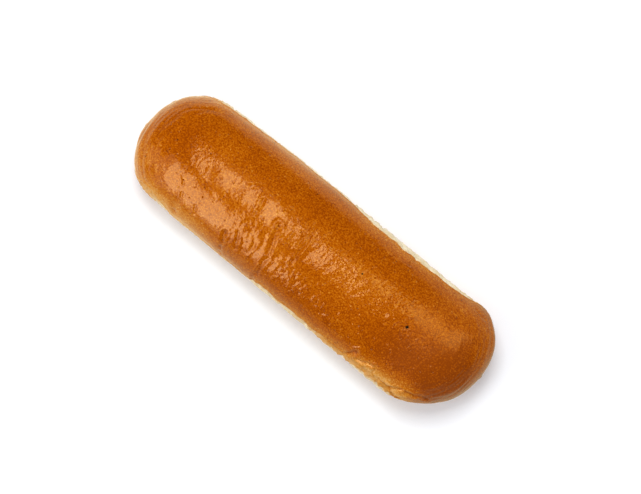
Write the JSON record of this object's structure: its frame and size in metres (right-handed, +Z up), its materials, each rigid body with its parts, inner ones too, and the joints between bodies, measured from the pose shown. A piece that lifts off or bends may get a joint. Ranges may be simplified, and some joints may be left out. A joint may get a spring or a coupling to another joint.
{
  "type": "bread roll",
  "caption": "Long soft bread roll with a glossy golden-brown domed crust, pale torn flanks and a flat base, to be eaten or split and filled.",
  "frame": {"origin": "middle of the flat base, on the surface that the roll rests on", "axes": "+X along the roll's length, +Y across it towards the flank with the longer pale strip, +Z up through the domed top"},
  "size_m": [0.16, 0.05, 0.038],
  "materials": {
    "crust": "satin"
  },
  "bodies": {
    "root": {"bread_roll": "crust"}
  },
  "joints": []
}
